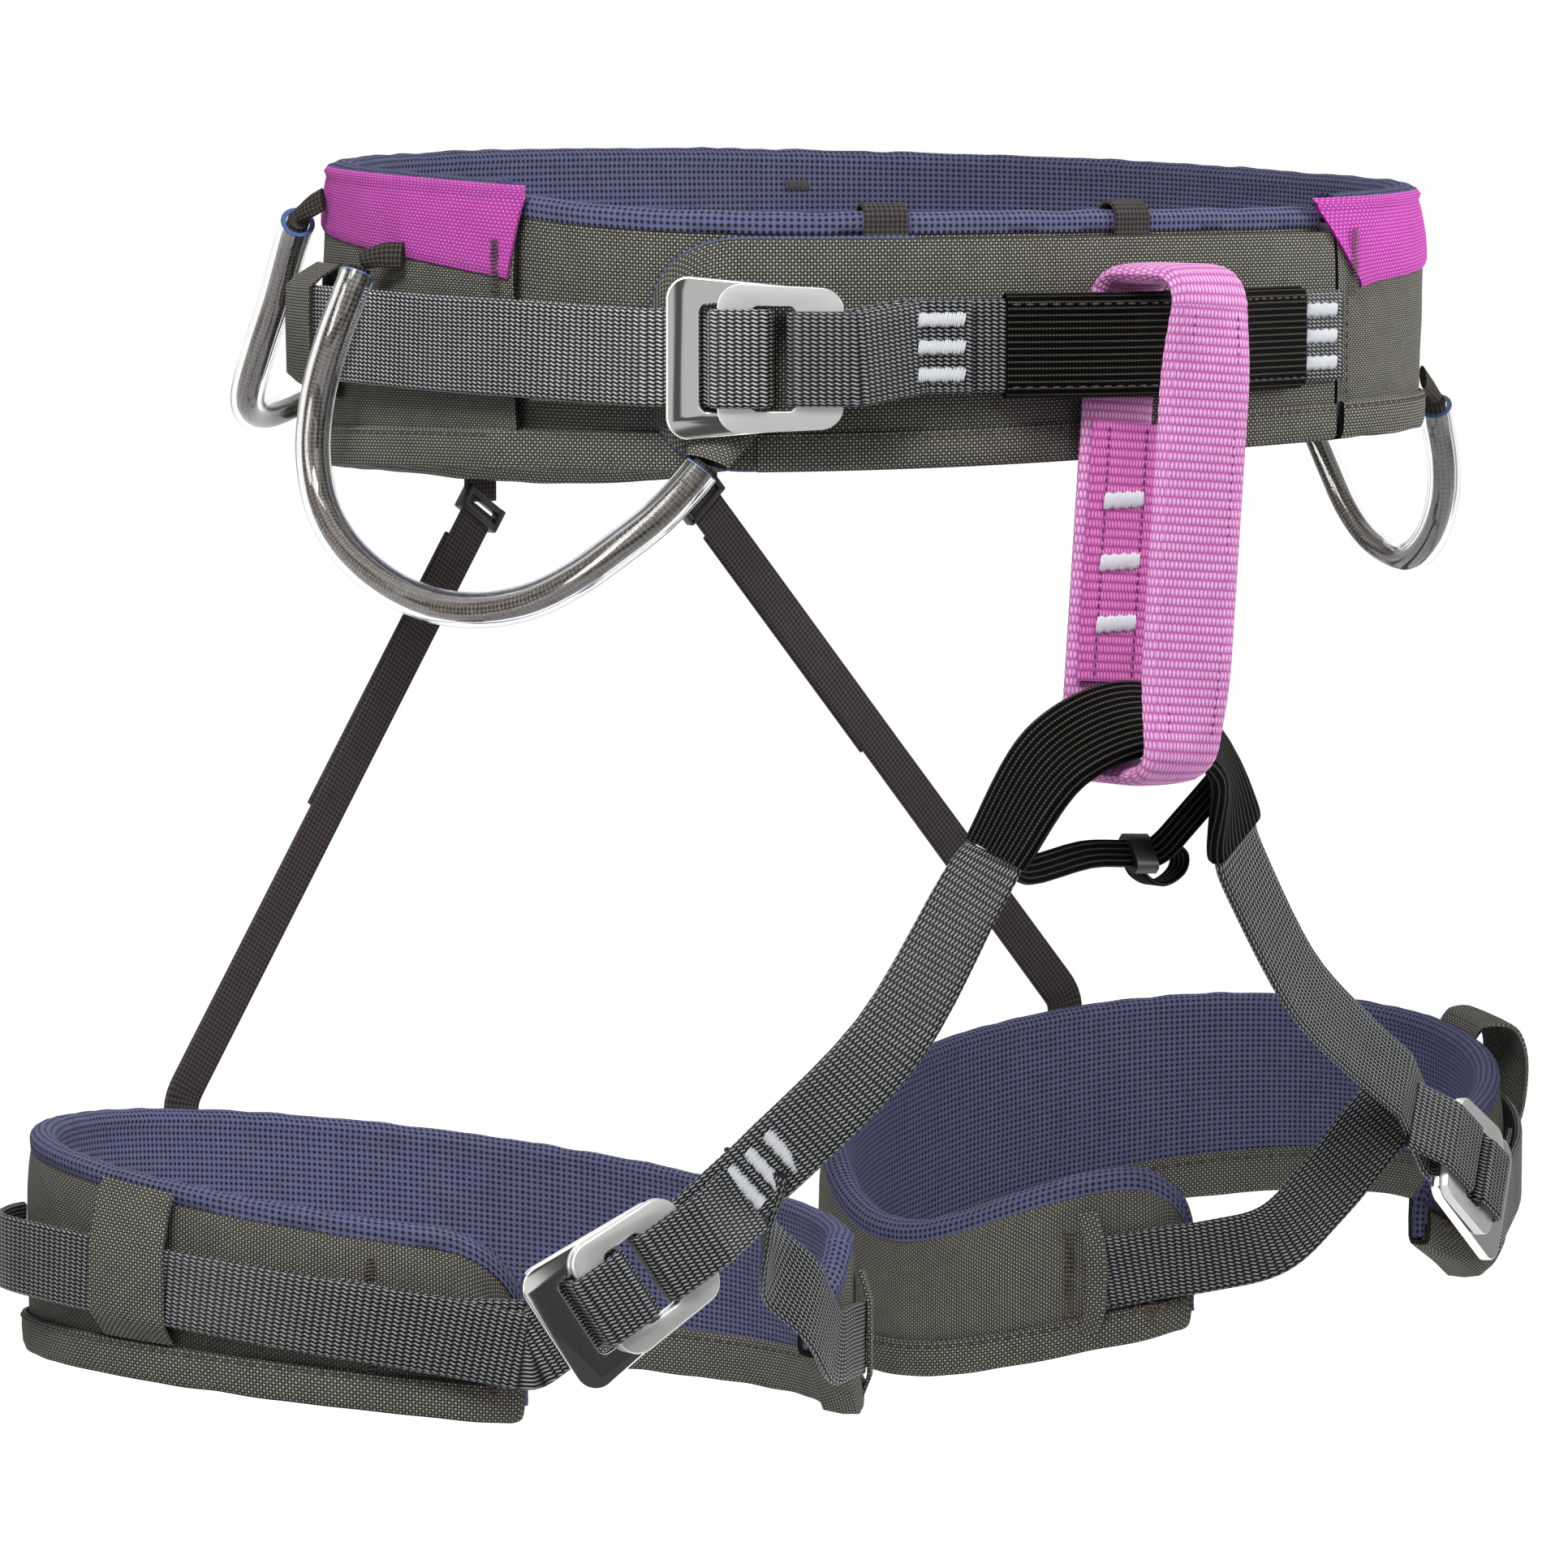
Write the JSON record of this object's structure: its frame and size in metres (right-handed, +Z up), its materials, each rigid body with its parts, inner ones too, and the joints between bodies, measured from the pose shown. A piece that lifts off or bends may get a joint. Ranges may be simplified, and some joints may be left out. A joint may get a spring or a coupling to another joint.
{
  "type": "climbing harness",
  "caption": "Padded climbing sit harness with waist belt, front flap, double-plate buckles, belay loop, adjustable leg loops, elastic rear risers and tube gear loops.",
  "frame": {"origin": "middle of the waist opening, at the height of the middle of the belt's front", "axes": "+Z up along the wearer's body, -Y to the wearer's front, +X to the wearer's left"},
  "size_m": [0.5036, 0.3028, 0.343],
  "materials": {
    "grey_fabric": "plain woven, matt",
    "blue_mesh": "open spacer mesh",
    "magenta_fabric": "plain woven, matt",
    "pink_tape": "woven nylon tape",
    "grey_webbing": "herringbone webbing",
    "black_fabric": "woven, matt",
    "black_plastic": "moulded",
    "buckle_metal": "polished",
    "clear_tube": "clear, glossy",
    "white_thread": "bar tack stitching",
    "foam": "closed-cell foam"
  },
  "bodies": {
    "waist": {"waist_lining": "blue_mesh", "waist_foam": "foam", "waist_shell": "grey_fabric", "waist_hem": "grey_fabric", "right_hip_panel": "magenta_fabric", "left_hip_panel": "magenta_fabric", "front_panel_lining": "blue_mesh", "front_panel_foam": "foam", "front_panel_shell": "grey_fabric", "front_flap_foam": "foam", "front_flap_shell": "grey_fabric", "flap_keepers": "black_fabric", "webbing_tunnel": "grey_fabric", "waist_webbing": "grey_webbing", "waist_buckle_frame": "buckle_metal", "tie_in_strap": "grey_webbing", "tie_in_sleeve": "black_fabric", "tie_in_bartacks": "white_thread", "gear_loop_tabs": "black_fabric", "riser_adjusters": "black_plastic", "riser_tabs": "black_fabric", "rear_riser_right": "black_fabric", "rear_riser_left": "black_fabric", "leg_arch_sleeve": "black_fabric", "bridge_strap": "black_fabric", "bridge_adjuster": "black_plastic"},
    "belay": {"belay_loop": "pink_tape", "belay_overlap": "pink_tape", "belay_bartacks": "white_thread"},
    "gear_right_front": {"gear_tube_right_front": "clear_tube", "gear_cord_right_front": "black_fabric"},
    "gear_left_front": {"gear_tube_left_front": "clear_tube", "gear_cord_left_front": "black_fabric"},
    "gear_right_rear": {"gear_tube_right_rear": "clear_tube", "gear_cord_right_rear": "black_fabric"},
    "gear_left_rear": {"gear_tube_left_rear": "clear_tube", "gear_cord_left_rear": "black_fabric"},
    "waist_slider": {"waist_buckle_slider": "buckle_metal"},
    "right_leg": {"front_riser_right": "grey_webbing", "leg_lining_right": "blue_mesh", "leg_foam_right": "foam", "leg_shell_right": "grey_fabric", "leg_hem_right": "grey_fabric", "leg_webbing_right": "grey_webbing", "leg_buckle_frame_right": "buckle_metal", "leg_keeper_right": "grey_fabric", "leg_inner_strap_right": "grey_webbing"},
    "right_leg_slider": {"leg_buckle_slider_right": "buckle_metal"},
    "left_leg": {"front_riser_left": "grey_webbing", "leg_lining_left": "blue_mesh", "leg_foam_left": "foam", "leg_shell_left": "grey_fabric", "leg_hem_left": "grey_fabric", "leg_webbing_left": "grey_webbing", "leg_buckle_frame_left": "buckle_metal", "leg_keeper_left": "grey_fabric", "leg_inner_strap_left": "grey_webbing"},
    "left_leg_slider": {"leg_buckle_slider_left": "buckle_metal"}
  },
  "joints": [
    {"name": "belay_twist", "type": "hinge", "parent": "waist", "child": "belay", "pos_m": [-0.024, -0.1429, -0.052], "axis": [0, 0, 1], "range_deg": [-4, 3]},
    {"name": "gear_right_front_lift", "type": "hinge", "parent": "waist", "child": "gear_right_front", "pos_m": [-0.15437, 0.0243, 0.0145], "axis": [-0.2091, 0.8638, 0.4584], "range_deg": [0, 30]},
    {"name": "gear_left_front_lift", "type": "hinge", "parent": "waist", "child": "gear_left_front", "pos_m": [0.15437, 0.0243, 0.0145], "axis": [-0.1735, -0.9229, -0.3438], "range_deg": [0, 30]},
    {"name": "gear_right_rear_lift", "type": "hinge", "parent": "waist", "child": "gear_right_rear", "pos_m": [-0.14029, 0.07517, 0.026], "axis": [0.8511, 0.4924, -0.1819], "range_deg": [0, 30]},
    {"name": "gear_left_rear_lift", "type": "hinge", "parent": "waist", "child": "gear_left_rear", "pos_m": [0.14029, 0.07517, 0.026], "axis": [0.8511, -0.4924, 0.1819], "range_deg": [0, 30]},
    {"name": "waist_slider_shift", "type": "slide", "parent": "waist", "child": "waist_slider", "axis": [0.7203, -0.6937, 0], "range_m": [0, 0.003]},
    {"name": "right_leg_swing", "type": "hinge", "parent": "waist", "child": "right_leg", "pos_m": [-0.072, -0.132, -0.132], "axis": [1, 0, 0], "range_deg": [-6, 6], "stiffness_Nm_per_rad": 2.2, "springref_deg": 4.3, "deforming": ["rear_riser_right"]},
    {"name": "right_leg_slider_shift", "type": "slide", "parent": "right_leg", "child": "right_leg_slider", "axis": [0.8111, -0.2535, 0.5272], "range_m": [0, 0.003]},
    {"name": "left_leg_swing", "type": "hinge", "parent": "waist", "child": "left_leg", "pos_m": [0.015, -0.127, -0.134], "axis": [1, 0, 0], "range_deg": [-6, 6], "stiffness_Nm_per_rad": 2.2, "springref_deg": 4.3, "deforming": ["rear_riser_left"]},
    {"name": "left_leg_slider_shift", "type": "slide", "parent": "left_leg", "child": "left_leg_slider", "axis": [-0.8111, -0.2535, 0.5272], "range_m": [0, 0.003]}
  ]
}
